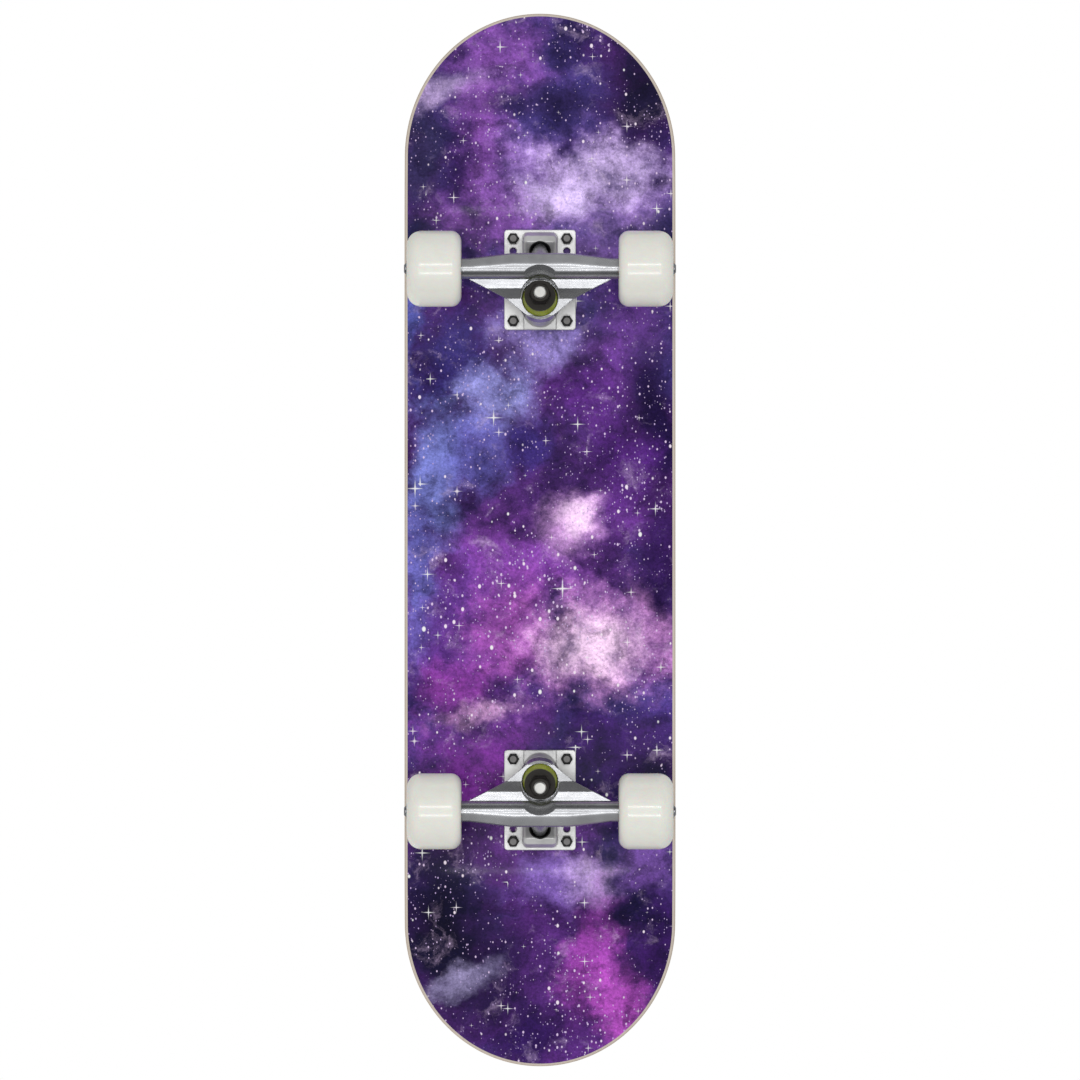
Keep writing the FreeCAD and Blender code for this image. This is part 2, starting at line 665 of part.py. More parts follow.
def place_end(shape, end):
    """Leave a shape made at the nose there, or turn it round to the tail."""
    return shape if end > 0 else shape.rotated(Vector(0, 0, 0), W_AXIS, 180)


def truck_nodes():
    """Nodes of one truck in the truck frame."""
    return {
        "baseplate": make_baseplate(),
        "pivot_cup": make_pivot_cup(),
        "kingpin": make_kingpin(),
        "kingpin_nut": make_kingpin_nut(),
        "board_side_bushing": make_board_bushing(),
        "road_side_bushing": make_road_bushing(),
        "board_side_cup_washer": cup_washer(-BOARD_WASHER_AT, -KINGPIN_AXIS),
        "road_side_cup_washer": cup_washer(ROAD_WASHER_AT, KINGPIN_AXIS),
        "hanger": make_hanger(),
    }


def wheel_nodes():
    """Nodes of one wheel, on the right."""
    return {
        "wheel_tyre": make_tyre(),
        "bearing_outer_races": make_outer_races(),
        "bearing_inner_races": make_inner_races(),
        "bearing_balls": make_balls(),
        "bearing_cages": make_cages(),
        "bearing_shields": make_shields(),
        "bearing_spacer": make_spacer(),
    }


def build():
    """All nodes of the skateboard by name."""
    nodes = {"deck": make_deck(), "grip_tape": make_grip(), "printed_film": make_film()}
    trucks = truck_nodes()
    wheels = wheel_nodes()
    axle_parts = {"axle": make_axle(), "speed_washers": make_speed_washers(), "axle_nuts": make_axle_nuts()}
    bolt_parts = {"deck_bolts": make_deck_bolts(), "deck_nuts": make_deck_nuts()}
    for end_name, end in (("front", 1), ("rear", -1)):
        for name, shape in trucks.items():
            nodes[f"{end_name}_{name}"] = place_truck(shape, end)
        for name, shape in axle_parts.items():
            nodes[f"{end_name}_{name}"] = place_axle(shape, end)
        for name, shape in bolt_parts.items():
            nodes[f"{end_name}_{name}"] = place_end(shape, end)
        for side_name, side in (("left", -1), ("right", 1)):
            for name, shape in wheels.items():
                nodes[f"{end_name}_{side_name}_{name}"] = place_axle(shape, end, side)
    return nodes


def main():
    """Write one STEP file for each node."""
    os.makedirs("parts", exist_ok=True)
    for name, shape in build().items():
        if not shape.isValid():
            print("not valid:", name)
        shape.exportStep(f"parts/{name}.step")
        print(name, len(shape.Solids), round(shape.Volume))


if __name__ == "__main__":
    main()
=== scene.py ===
import logging
import math
from dataclasses import dataclass, field
from enum import Enum

import bmesh
import bpy
from bmesh.types import BMesh, BMVert
from bpy.types import Material, Node, NodeSocket, Object
from mathutils import Matrix, Vector


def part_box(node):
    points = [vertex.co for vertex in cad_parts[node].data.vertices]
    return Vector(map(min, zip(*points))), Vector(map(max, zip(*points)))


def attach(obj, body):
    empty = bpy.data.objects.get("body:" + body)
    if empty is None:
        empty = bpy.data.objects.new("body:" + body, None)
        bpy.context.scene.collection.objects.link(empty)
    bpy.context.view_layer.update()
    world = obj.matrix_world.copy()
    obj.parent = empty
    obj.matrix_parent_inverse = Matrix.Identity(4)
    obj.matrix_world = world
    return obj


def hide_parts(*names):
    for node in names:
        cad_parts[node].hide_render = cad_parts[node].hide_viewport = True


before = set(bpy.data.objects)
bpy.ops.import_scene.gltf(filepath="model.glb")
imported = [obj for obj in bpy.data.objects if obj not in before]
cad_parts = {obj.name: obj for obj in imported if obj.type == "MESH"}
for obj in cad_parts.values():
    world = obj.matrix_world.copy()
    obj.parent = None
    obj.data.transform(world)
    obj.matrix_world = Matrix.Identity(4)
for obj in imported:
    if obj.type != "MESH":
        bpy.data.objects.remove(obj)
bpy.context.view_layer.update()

LOG = logging.getLogger("skateboard")
CUT_TOLERANCE = 1e-6
LEAST_WIDTH = 0.00001
LEAST_ARM = 0.0001
Colour = tuple[float, float, float]
Triple = tuple[float, float, float]


class End(Enum):
    """The two ends of the board, with the direction of each along Y."""

    FRONT = 1
    REAR = -1

    @property
    def label(self) -> str:
        """Start of the names of this end's nodes."""
        return self.name.lower()


class Side(Enum):
    """The two sides of the board, with the direction of each along X."""

    LEFT = -1
    RIGHT = 1

    @property
    def label(self) -> str:
        """Part of the names of this side's nodes."""
        return self.name.lower()


def srgb(code: str) -> Colour:
    """Turn a colour code into linear light.

    Args:
        code: Six hexadecimal digits.

    Returns:
        Red, green and blue in linear light.
    """
    channels = [int(code[i:i + 2], 16) / 255 for i in (0, 2, 4)]
    return tuple(c / 12.92 if c <= 0.04045 else ((c + 0.055) / 1.055) ** 2.4 for c in channels)


class ShaderTree:
    """One material and the nodes that feed its single surface shader."""

    MIX_SHARE, MIX_FIRST, MIX_SECOND, MIX_RESULT = 0, 6, 7, 2
    BEVEL_SAMPLES = 4

    def __init__(self, name: str) -> None:
        """Make an empty material of this name."""
        self.material: Material = bpy.data.materials.new(name)
        self.material.use_nodes = True
        self.tree = self.material.node_tree
        self.shader: Node = self.tree.nodes["Principled BSDF"]

    def add(self, kind: str, values: dict | None = None, **settings: object) -> Node:
        """Add a node.

        Args:
            kind: The node's type without its ShaderNode prefix.
            values: Input values or sockets by input name or number.
            settings: Properties of the node.

        Returns:
            The new node.
        """
        node = self.tree.nodes.new("ShaderNode" + kind)
        for key, value in settings.items():
            setattr(node, key, value)
        for key, value in (values or {}).items():
            self.feed(node.inputs[key], value)
        return node

    def feed(self, socket: NodeSocket, value: object) -> None:
        """Link a socket to another socket, or set its value.

        Args:
            socket: The input to feed.
            value: An output socket, a colour, a vector or a number.
        """
        if isinstance(value, NodeSocket):
            self.tree.links.new(value, socket)
        elif isinstance(value, tuple) and len(value) == 3 and socket.type == "RGBA":
            socket.default_value = (*value, 1.0)
        else:
            socket.default_value = value

    def surface(self, **values: object) -> None:
        """Set the surface shader's inputs, with underscores for the spaces in their names."""
        for key, value in values.items():
            self.feed(self.shader.inputs[key.replace("_", " ")], value)

    def place(self) -> NodeSocket:
        """Position on the piece, in metres."""
        return self.add("TexCoord").outputs["Object"]

    def stretched(self, scale: Triple) -> NodeSocket:
        """Position on the piece with each axis scaled."""
        return self.add("Mapping", {"Vector": self.place(), "Scale": scale}).outputs[0]

    def noise(self, at: NodeSocket, scale: float, detail: float = 4.0, roughness: float = 0.55) -> Node:
        """Fractal noise in three dimensions."""
        return self.add("TexNoise", {"Vector": at, "Scale": scale, "Detail": detail, "Roughness": roughness})

    def math(self, operation: str, *values: object) -> NodeSocket:
        """Arithmetic on one to three numbers."""
        return self.add("Math", dict(enumerate(values)), operation=operation).outputs[0]

    def vector(self, operation: str, *values: object) -> Node:
        """Arithmetic on vectors."""
        return self.add("VectorMath", dict(enumerate(values)), operation=operation)

    def spread(self, value: NodeSocket, low: float, high: float, to_low: float, to_high: float,
               smooth: bool = False) -> NodeSocket:
        """Map a number from one range to another, held at both ends.

        Args:
            value: The number.
            low: Start of its range.
            high: End of its range.
            to_low: Result at the start.
            to_high: Result at the end.
            smooth: Ease in and out of the two ends.

        Returns:
            The mapped number.
        """
        kind = "SMOOTHSTEP" if smooth else "LINEAR"
        limits = {"Value": value, "From Min": low, "From Max": high, "To Min": to_low, "To Max": to_high}
        return self.add("MapRange", limits, interpolation_type=kind).outputs[0]

    def mix(self, share: object, first: object, second: object, blend: str = "MIX") -> NodeSocket:
        """Blend two colours.

        Args:
            share: Strength of the second colour.
            first: The colour below.
            second: The colour above.
            blend: The way in which they blend.

        Returns:
            The blended colour.
        """
        node = self.add("Mix", data_type="RGBA", blend_type=blend)
        self.feed(node.inputs[self.MIX_SHARE], share)
        self.feed(node.inputs[self.MIX_FIRST], first)
        self.feed(node.inputs[self.MIX_SECOND], second)
        return node.outputs[self.MIX_RESULT]

    def bump(self, height: NodeSocket, depth: float, edge: float = 0.0) -> None:
        """Raise the surface by a height pattern.

        Args:
            height: The pattern.
            depth: Its height in metres.
            edge: Radius to which the piece's edges are softened, in metres.
        """
        node = self.add("Bump", {"Height": height, "Distance": depth, "Strength": 1.0})
        if edge > 0:
            soft = self.add("Bevel", {"Radius": edge}, samples=self.BEVEL_SAMPLES)
            self.feed(node.inputs["Normal"], soft.outputs[0])
        self.feed(self.shader.inputs["Normal"], node.outputs[0])


@dataclass(frozen=True)
class Metal:
    """A bare or plated metal with fine scratches and grain.

    Attributes:
        name: Name of the finish.
        colour: Colour code of the clean metal.
        rough: Least roughness.
        rough_more: Roughness added in the dullest patches.
        grain: Height of the surface grain in metres.
        grain_scale: Grains per metre.
        brush: Stretch of the grain along X, Y and Z.
        metallic: Share of metal reflection.
        edge: Radius of the soft edges in metres.
        patch_scale: Dull patches per metre.
        dull: Brightness of the dull patches beside the clean metal.
    """

    name: str
    colour: str
    rough: float
    rough_more: float = 0.12
    grain: float = 0.00001
    grain_scale: float = 900.0
    brush: Triple = (1.0, 1.0, 1.0)
    metallic: float = 1.0
    edge: float = 0.0
    patch_scale: float = 60.0
    dull: float = 0.8

    def make(self) -> Material:
        """Build the material.

        Returns:
            The material.
        """
        tree = ShaderTree(self.name)
        fine = tree.noise(tree.stretched(self.brush), self.grain_scale, 5.0)
        patches = tree.noise(tree.place(), self.patch_scale, 3.0)
        base = srgb(self.colour)
        dull = tuple(c * self.dull for c in base)
        tone = tree.spread(patches.outputs[0], 0.35, 0.65, 0.0, 1.0)
        rough = tree.spread(fine.outputs[0], 0.3, 0.7, self.rough, self.rough + self.rough_more)
        tree.surface(Base_Color=tree.mix(tone, base, dull), Metallic=self.metallic, Roughness=rough)
        tree.bump(fine.outputs[0], self.grain, edge=self.edge)
        return tree.material


@dataclass(frozen=True)
class Urethane:
    """Cast urethane or moulded plastic with a faint mottle.

    Attributes:
        name: Name of the finish.
        colour: Colour code of the bulk.
        shade: Colour code of its darker mottle.
        rough: Roughness.
        glow: Share of light that scatters inside.
        depth: Distance that the light scatters, in metres.
        rough_more: Roughness added in the dullest spots.
        mottle_scale: Patches of mottle per metre.
        grain_scale: Grains per metre.
        grain: Height of the surface grain in metres.
    """

    name: str
    colour: str
    shade: str
    rough: float = 0.3
    glow: float = 0.0
    depth: float = 0.004
    rough_more: float = 0.08
    mottle_scale: float = 140.0
    grain_scale: float = 1500.0
    grain: float = 0.000004

    def make(self) -> Material:
        """Build the material.

        Returns:
            The material.
        """
        tree = ShaderTree(self.name)
        mottle = tree.noise(tree.place(), self.mottle_scale, 4.0)
        fine = tree.noise(tree.place(), self.grain_scale, 3.0)
        share = tree.spread(mottle.outputs[0], 0.35, 0.7, 0.0, 1.0)
        rough = tree.spread(fine.outputs[0], 0.3, 0.7, self.rough, self.rough + self.rough_more)
        tree.surface(Base_Color=tree.mix(share, srgb(self.colour), srgb(self.shade)), Roughness=rough,
                     Subsurface_Weight=self.glow, Subsurface_Scale=self.depth)
        tree.bump(fine.outputs[0], self.grain)
        return tree.material


@dataclass(frozen=True)
class GripSheet:
    """Black abrasive sheet: dense grit with a few grains that catch the light.

    Attributes:
        name: Name of the finish.
        deep: Colour code between the grains.
        pale: Colour code of the lightest grains.
        dusty: Colour code of the worn areas.
        grain_scale: Grains per metre.
        coarse_scale: Clumps of grains per metre.
        worn_scale: Worn areas per metre.
        relief: Height of the grit in metres.
    """

    name: str = "grip_grit"
    deep: str = "101010"
    pale: str = "3A3A3A"
    dusty: str = "2C2C2C"
    grain_scale: float = 1500.0
    coarse_scale: float = 900.0
    worn_scale: float = 9.0
    relief: float = 0.0004

    def make(self) -> Material:
        """Build the material.

        Returns:
            The material.
        """
        tree = ShaderTree(self.name)
        grains = tree.add("TexVoronoi", {"Vector": tree.place(), "Scale": self.grain_scale})
        coarse = tree.noise(tree.place(), self.coarse_scale, 3.0)
        tone = tree.spread(coarse.outputs[0], 0.42, 0.66, 0.0, 1.0)
        worn = tree.spread(tree.noise(tree.place(), self.worn_scale, 3.0).outputs[0], 0.35, 0.75, 0.0, 0.35)
        base = tree.mix(tone, srgb(self.deep), srgb(self.pale))
        tree.surface(Base_Color=tree.mix(worn, base, srgb(self.dusty)), Roughness=0.92, Specular_IOR_Level=0.3)
        tree.bump(tree.math("ADD", grains.outputs["Distance"], coarse.outputs[0]), self.relief)
        return tree.material


@dataclass(frozen=True)
class Maple:
    """Laminated maple whose plies show along the rounded edge.

    Attributes:
        name: Name of the finish.
        plies: Number of plies.
        light: Colour code of the plies that run along the board.
        cross: Colour code of the plies that run across it.
        glue: Colour code of the seams and fibres.
        stretch: Stretch of the wood grain along X, Y and Z.
        grain_scale: Fibres per metre before the stretch.
        relief: Height of the wood grain in metres.
    """

    name: str = "maple_plies"
    plies: int = 7
    light: str = "E2D6C8"
    cross: str = "CDB9A2"
    glue: str = "A58F78"
    stretch: Triple = (60.0, 4.0, 120.0)
    grain_scale: float = 5.0
    relief: float = 0.00005

    def make(self) -> Material:
        """Build the material. The attribute ply runs from 0 under the deck to 1 on its top.

        Returns:
            The material.
        """
        tree = ShaderTree(self.name)
        depth = tree.add("Attribute", attribute_name="ply").outputs["Fac"]
        count = tree.math("MULTIPLY", depth, float(self.plies))
        odd = tree.math("PINGPONG", tree.math("FLOOR", count), 1.0)
        seam = tree.math("ABSOLUTE", tree.math("SUBTRACT", tree.math("FRACT", count), 0.5))
        seam = tree.spread(seam, 0.42, 0.5, 0.0, 0.75, True)
        grain = tree.noise(tree.stretched(self.stretch), self.grain_scale, 6.0, 0.65)
        fibre = tree.spread(grain.outputs[0], 0.3, 0.75, 0.0, 0.35)
        wood = tree.mix(odd, srgb(self.light), srgb(self.cross))
        wood = tree.mix(fibre, wood, srgb(self.glue))
        tree.surface(Base_Color=tree.mix(seam, wood, srgb(self.glue)), Roughness=0.55)
        tree.bump(grain.outputs[0], self.relief)
        return tree.material


@dataclass(frozen=True)
class Cloud:
    """One soft patch of the print.

    Attributes:
        x: Middle across the board in metres.
        y: Middle along the board in metres.
        half_x: Half width in metres.
        half_y: Half length in metres.
        colour: Colour code.
        strength: Share of its colour at its middle.
        turn: Turn about Z in radians.
    """

    x: float
    y: float
    half_x: float
    half_y: float
    colour: str
    strength: float = 1.0
    turn: float = 0.0


@dataclass(frozen=True)
class StarLayer:
    """Round stars of one size.

    Attributes:
        scale: Cells per metre, each with one star at most.
        size: Radius of the largest star, as a share of a cell.
        least: Least draw that gives a cell its star.
        colour: Colour code.
    """

    scale: float
    size: float
    least: float
    colour: str


@dataclass(frozen=True)
class NightSkyFilm:
    """Glossy printed film: drifting clouds of violet, blue and pink, grain, and stars.

    Attributes:
        name: Name of the finish.
        clouds: Soft patches, from the lowest to the uppermost.
        layers: Round stars, from the smallest to the largest.
        swirls: Swirls per metre and how far each size of swirl reaches.
        tall: Stretch that makes the round stars a little taller.
        aside: Shift between the two grids of four-pointed stars.
        beside: Shift between the two noises of the ground.
    """

    name: str = "night_sky_print"
    clouds: tuple[Cloud, ...] = (
        Cloud(0.060, 0.385, 0.075, 0.045, "5E3A7C", 0.8),
        Cloud(0.030, 0.372, 0.040, 0.040, "8E58B0", 0.7),
        Cloud(-0.080, 0.350, 0.040, 0.050, "17122F"),
        Cloud(0.092, 0.300, 0.030, 0.050, "2C2A4C", 0.9),
        Cloud(0.070, 0.348, 0.045, 0.012, "B7A4CE", 0.8, 0.25),
        Cloud(0.042, 0.310, 0.020, 0.070, "8E56AE", 0.8),
        Cloud(0.000, 0.335, 0.070, 0.012, "2B1F49", 0.6),
        Cloud(-0.030, 0.275, 0.075, 0.044, "9D7CC4", 0.9),
        Cloud(-0.050, 0.288, 0.050, 0.026, "CDBBE6", 0.9),
        Cloud(-0.010, 0.268, 0.038, 0.020, "D3C4EC", 0.7),
        Cloud(0.040, 0.250, 0.050, 0.028, "8450A6", 0.8),
        Cloud(0.095, 0.235, 0.018, 0.022, "15163A"),
        Cloud(-0.095, 0.225, 0.018, 0.034, "1A1740"),
        Cloud(-0.040, 0.215, 0.040, 0.022, "8C6AB8", 0.7),
        Cloud(0.065, 0.140, 0.045, 0.050, "2A2868", 0.9),
        Cloud(0.098, 0.160, 0.012, 0.060, "5A68B8", 0.7),
        Cloud(-0.070, 0.165, 0.034, 0.040, "6A3C92", 0.8),
        Cloud(0.000, 0.158, 0.036, 0.032, "9A8FD0", 0.8),
        Cloud(0.032, 0.108, 0.034, 0.034, "8C90CC", 0.9, 0.6),
        Cloud(0.080, 0.055, 0.026, 0.056, "7480C4", 0.9),
        Cloud(0.046, 0.068, 0.030, 0.030, "6466B4", 0.8),
        Cloud(-0.028, 0.112, 0.032, 0.026, "5A2A80", 0.9),
        Cloud(-0.090, 0.090, 0.024, 0.080, "20123F"),
        Cloud(-0.060, 0.060, 0.026, 0.034, "4C2072", 0.8),
        Cloud(0.012, 0.072, 0.026, 0.020, "382B74", 0.9),
        Cloud(0.094, -0.020, 0.016, 0.070, "6A72BE", 0.8),
        Cloud(0.010, -0.020, 0.064, 0.044, "7C409C", 0.8),
        Cloud(-0.092, -0.020, 0.018, 0.060, "2F174F", 0.9),
        Cloud(0.060, -0.065, 0.036, 0.045, "5A3488", 0.8),
        Cloud(0.020, -0.070, 0.046, 0.042, "A856B0", 0.8),
        Cloud(-0.022, 0.012, 0.024, 0.028, "CFA0D8", 0.8),
        Cloud(-0.026, 0.020, 0.012, 0.014, "F2D4F0", 0.8),
        Cloud(-0.044, -0.074, 0.064, 0.044, "CE92D0", 0.9),
        Cloud(-0.038, -0.078, 0.044, 0.026, "F6D8F0", 0.95),
        Cloud(0.070, -0.120, 0.030, 0.026, "8A3C9A", 0.8),
        Cloud(0.042, -0.134, 0.036, 0.010, "DBAAD8", 0.9, 0.3),
        Cloud(-0.060, -0.150, 0.050, 0.030, "3A1A62", 0.9),
        Cloud(0.055, -0.180, 0.055, 0.042, "762F90", 0.9),
        Cloud(-0.088, -0.190, 0.024, 0.036, "150D31"),
        Cloud(-0.035, -0.215, 0.040, 0.026, "6A3A92", 0.8),
        Cloud(0.070, -0.300, 0.056, 0.080, "100D28"),
        Cloud(-0.010, -0.262, 0.034, 0.024, "7E62B0", 0.8),
        Cloud(-0.042, -0.262, 0.026, 0.022, "C3A8DE", 0.7),
        Cloud(-0.086, -0.250, 0.022, 0.028, "7450A0", 0.8),
        Cloud(-0.090, -0.320, 0.018, 0.050, "3A1A60", 0.9),
        Cloud(-0.038, -0.320, 0.022, 0.060, "9C46A8", 0.85, -0.25),
        Cloud(-0.062, -0.365, 0.024, 0.036, "B654BC", 0.8),
        Cloud(0.066, -0.338, 0.038, 0.010, "8E88AC", 0.75, 0.3),
        Cloud(0.010, -0.385, 0.050, 0.024, "2A1450", 0.9),
    )
    layers: tuple[StarLayer, ...] = (
        StarLayer(520.0, 0.34, 0.60, "C9B0E2"),
        StarLayer(300.0, 0.30, 0.62, "E6CDF2"),
        StarLayer(150.0, 0.21, 0.66, "FFF0FF"),
        StarLayer(78.0, 0.14, 0.70, "FFFFFF"),
    )
    swirls: tuple[tuple[float, float], ...] = ((11.0, 0.060), (48.0, 0.022))
    tall: Triple = (1.0, 0.72, 0.0)
    aside: Triple = (0.37, 0.21, 0.0)
    beside: Triple = (3.1, 1.7, 0.0)

    def make(self) -> Material:
        """Build the material.

        Returns:
            The material.
        """
        tree = ShaderTree(self.name)
        flat = tree.vector("MULTIPLY", tree.place(), (1.0, 1.0, 0.0)).outputs[0]
        at = self.drift(tree, flat)
        wisps = tree.noise(flat, 26.0, 9.0, 0.68).outputs[0]
        colour: object = self.haze(tree, at)
        for cloud in self.clouds:
            colour = tree.mix(self.mask(tree, at, wisps, cloud), colour, srgb(cloud.colour))
        colour = self.grain(tree, flat, at, wisps, colour)
        colour = self.stars(tree, flat, colour)
        tree.surface(Base_Color=colour, Roughness=0.30, Coat_Weight=0.1, Coat_Roughness=0.12,
                     Specular_IOR_Level=0.05)
        return tree.material

    def haze(self, tree: ShaderTree, at: NodeSocket) -> NodeSocket:
        """Violet ground whose shade drifts between navy, purple and mauve.

        Args:
            tree: The film's material.
            at: Drifted position on the film.

        Returns:
            The ground's colour.
        """
        broad = tree.noise(at, 7.5, 7.0, 0.62).outputs[0]
        tint = tree.noise(tree.vector("ADD", at, self.beside).outputs[0], 5.0, 5.0, 0.6).outputs[0]
        purple = tree.mix(tree.spread(broad, 0.34, 0.60, 0.0, 1.0), srgb("1C1440"), srgb("6C3890"))
        blue = tree.mix(tree.spread(broad, 0.36, 0.64, 0.0, 1.0), srgb("14123A"), srgb("5656A4"))
        return tree.mix(tree.spread(tint, 0.44, 0.58, 0.0, 0.75, True), purple, blue)

    def drift(self, tree: ShaderTree, flat: NodeSocket) -> NodeSocket:
        """Shift positions by two sizes of noise, so that patches have ragged edges.

        Args:
            tree: The film's material.
            flat: Position on the film.

        Returns:
            The drifted position.
        """
        at = flat
        for scale, reach in self.swirls:
            swirl = tree.noise(flat, scale, 6.0, 0.6).outputs[1]
            centred = tree.vector("SUBTRACT", swirl, (0.5, 0.5, 0.5)).outputs[0]
            push = tree.vector("MULTIPLY", centred, (reach, reach, 0.0)).outputs[0]
            at = tree.vector("ADD", at, push).outputs[0]
        return at

    def mask(self, tree: ShaderTree, at: NodeSocket, wisps: NodeSocket, cloud: Cloud) -> NodeSocket:
        """Strength of one cloud over the film.

        Args:
            tree: The film's material.
            at: Drifted position on the film.
            wisps: Noise that frays the cloud's edge.
            cloud: The cloud.

        Returns:
            Its strength, from 0 outside it.
        """
        moved = tree.vector("SUBTRACT", at, (cloud.x, cloud.y, 0.0)).outputs[0]
        if cloud.turn:
            moved = tree.add("VectorRotate", {"Vector": moved, "Angle": cloud.turn},
                             rotation_type="Z_AXIS").outputs[0]
        sized = tree.vector("DIVIDE", moved, (cloud.half_x, cloud.half_y, 1.0)).outputs[0]
        reach = tree.vector("LENGTH", sized).outputs["Value"]
        ragged = tree.math("ADD", reach, tree.spread(wisps, 0.3, 0.7, 0.45, -0.35))
        return tree.spread(ragged, 0.25, 1.35, cloud.strength, 0.0, True)

    def grain(self, tree: ShaderTree, flat: NodeSocket, at: NodeSocket, wisps: NodeSocket,
              colour: NodeSocket) -> NodeSocket:
        """Lighten and darken the clouds with wisps, dark rifts and a fine speckle.

        Args:
            tree: The film's material.
            flat: Position on the film.
            at: Drifted position on the film.
            wisps: Noise that lightens and darkens.
            colour: Colour of the clouds.

        Returns:
            The grained colour.
        """
        light = tree.spread(wisps, 0.34, 0.66, 0.0, 1.0)
        shaded = tree.mix(0.75, colour, tree.mix(light, (0.22, 0.18, 0.34), (2.1, 1.95, 2.1)), "MULTIPLY")
        rifts = tree.noise(at, 34.0, 8.0, 0.72).outputs[0]
        dark = tree.spread(rifts, 0.33, 0.52, 0.62, 0.0, True)
        shaded = tree.mix(dark, shaded, srgb("1A1038"))
        glow = tree.spread(rifts, 0.54, 0.74, 0.0, 0.45, True)
        shaded = tree.mix(glow, shaded, srgb("D9BCE6"), "SCREEN")
        speckle = tree.noise(flat, 460.0, 3.0, 0.7).outputs[0]
        tone = tree.spread(speckle, 0.30, 0.70, 0.5, 1.5)
        return tree.mix(0.6, shaded, tree.add("CombineColor", {0: tone, 1: tone, 2: tone}).outputs[0], "MULTIPLY")

    def stars(self, tree: ShaderTree, flat: NodeSocket, colour: NodeSocket) -> NodeSocket:
        """Scatter small stars, thicker in the crowded stretches, and four-pointed ones.

        Args:
            tree: The film's material.
            flat: Position on the film.
            colour: Colour of the clouds.

        Returns:
            The colour with its stars.
        """
        tall = tree.vector("MULTIPLY", flat, self.tall).outputs[0]
        crowd = tree.spread(tree.noise(flat, 9.0, 3.0).outputs[0], 0.36, 0.60, 0.0, 0.22)
        for layer in self.layers:
            cells = tree.add("TexVoronoi", {"Vector": tall, "Scale": layer.scale})
            pick = tree.math("ADD", tree.add("SeparateColor", {0: cells.outputs["Color"]}).outputs[0], crowd)
            radius = tree.spread(pick, layer.least, 1.15, 0.0, layer.size)
            bright = tree.math("SUBTRACT", radius, cells.outputs["Distance"])
            bright = tree.spread(bright, 0.0, layer.size * 0.35, 0.0, 1.0)
            colour = tree.mix(bright, colour, srgb(layer.colour))
        colour = tree.mix(self.sparkle(tree, flat, 30.0, 0.0062), colour, srgb("FFF6FF"))
        shifted = tree.vector("ADD", flat, self.aside).outputs[0]
        return tree.mix(self.sparkle(tree, shifted, 17.0, 0.0105), colour, srgb("FFFFFF"))

    def sparkle(self, tree: ShaderTree, flat: NodeSocket, scale: float, arm: float) -> NodeSocket:
        """Brightness of four-pointed stars, one in some cells of a loose grid.

        Args:
            tree: The film's material.
            flat: Position on the film.
            scale: Cells per metre.
            arm: Length of the longest ray in metres.

        Returns:
            Brightness from 0 to 1.
        """
        cells = tree.add("TexVoronoi", {"Vector": flat, "Scale": scale})
        pick = tree.add("SeparateColor", {0: cells.outputs["Color"]})
        offset = tree.vector("ABSOLUTE", tree.vector("SUBTRACT", flat, cells.outputs["Position"]).outputs[0])
        parts = tree.add("SeparateXYZ", {0: offset.outputs[0]})
        size = tree.spread(pick.outputs[0], 0.35, 1.0, 0.0, arm)
        along_x = self.arm(tree, parts.outputs[0], parts.outputs[1], size)
        along_y = self.arm(tree, parts.outputs[1], parts.outputs[0], size)
        core = tree.vector("LENGTH", offset.outputs[0]).outputs["Value"]
        heart = tree.math("MAXIMUM", tree.math("MULTIPLY", size, 0.32), LEAST_WIDTH)
        glow = tree.math("SUBTRACT", 1.0, tree.math("DIVIDE", core, heart))
        rays = tree.math("MAXIMUM", along_x, along_y)
        return tree.spread(tree.math("MAXIMUM", rays, glow), 0.0, 0.8, 0.0, 1.0)

    def arm(self, tree: ShaderTree, run: NodeSocket, side: NodeSocket, size: NodeSocket) -> NodeSocket:
        """Brightness of one tapering ray along a direction.

        Args:
            tree: The film's material.
            run: Distance from the star along the ray.
            side: Distance from the star across it.
            size: Length of the ray.

        Returns:
            Brightness, from 0 outside the ray.
        """
        along = tree.math("SUBTRACT", 1.0, tree.math("DIVIDE", run, tree.math("MAXIMUM", size, LEAST_ARM)))
        width = tree.math("MULTIPLY", tree.math("MAXIMUM", along, 0.0), tree.math("MULTIPLY", size, 0.1))
        across = tree.math("SUBTRACT", 1.0, tree.math("DIVIDE", side, tree.math("MAXIMUM", width, LEAST_WIDTH)))
        return tree.math("MULTIPLY", tree.math("MAXIMUM", along, 0.0), tree.math("MAXIMUM", across, 0.0))


